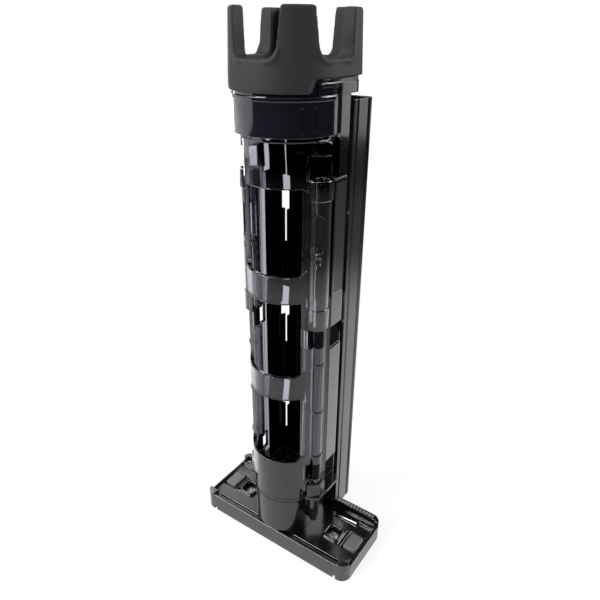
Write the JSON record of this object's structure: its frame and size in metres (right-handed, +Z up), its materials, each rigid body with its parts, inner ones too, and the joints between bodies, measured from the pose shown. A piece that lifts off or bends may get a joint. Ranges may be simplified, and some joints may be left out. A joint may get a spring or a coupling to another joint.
{
  "type": "rod stand",
  "caption": "Upright stand for fishing rods: a windowed tube on a flat foot, with a castellated soft crown on top and a sliding mounting channel behind.",
  "frame": {"origin": "on the ground under the tube's axis", "axes": "+Z up along the tube, -Y towards the windowed front, +X towards the stand's left-hand end as seen from behind, which is on the right in the front view"},
  "size_m": [0.104, 0.0702, 0.2875],
  "materials": {
    "smoke_shell": "clear smoked, glossy",
    "smoke_collar": "clear smoked, glossy",
    "black_gloss": "glossy",
    "black_base": "glossy",
    "black_bar": "satin",
    "black_rail": "satin",
    "soft_crown": "matte",
    "screw_steel": "plated",
    "spring_steel": "bright"
  },
  "bodies": {
    "stand": {"base_plate": "black_base", "button_spring_left": "spring_steel", "button_spring_right": "spring_steel", "base_screws": "screw_steel", "foot_cup": "black_gloss", "cup_screws": "screw_steel", "front_shell": "smoke_shell", "rear_channel": "black_gloss", "bar_left": "black_bar", "bar_right": "black_bar", "clip_left": "black_gloss", "clip_right": "black_gloss", "collar": "smoke_collar"},
    "left_button": {"button_left": "black_base"},
    "right_button": {"button_right": "black_base"},
    "top_crown": {"crown": "soft_crown"},
    "rail": {"mounting_rail": "black_rail", "rail_catch": "black_rail"}
  },
  "joints": [
    {"name": "button_left_press", "type": "slide", "parent": "stand", "child": "left_button", "axis": [0, 0, -1], "range_m": [0, 0.0016], "stiffness_N_per_m": 400, "springref_m": -0.0015, "deforming": ["button_spring_left"]},
    {"name": "button_right_press", "type": "slide", "parent": "stand", "child": "right_button", "axis": [0, 0, -1], "range_m": [0, 0.0016], "stiffness_N_per_m": 400, "springref_m": -0.0015, "deforming": ["button_spring_right"]},
    {"name": "crown_lift", "type": "slide", "parent": "stand", "child": "top_crown", "axis": [0, 0, 1], "range_m": [0, 0.04]},
    {"name": "rail_slide", "type": "slide", "parent": "stand", "child": "rail", "axis": [0, 0, 1], "range_m": [0, 0.018]}
  ]
}
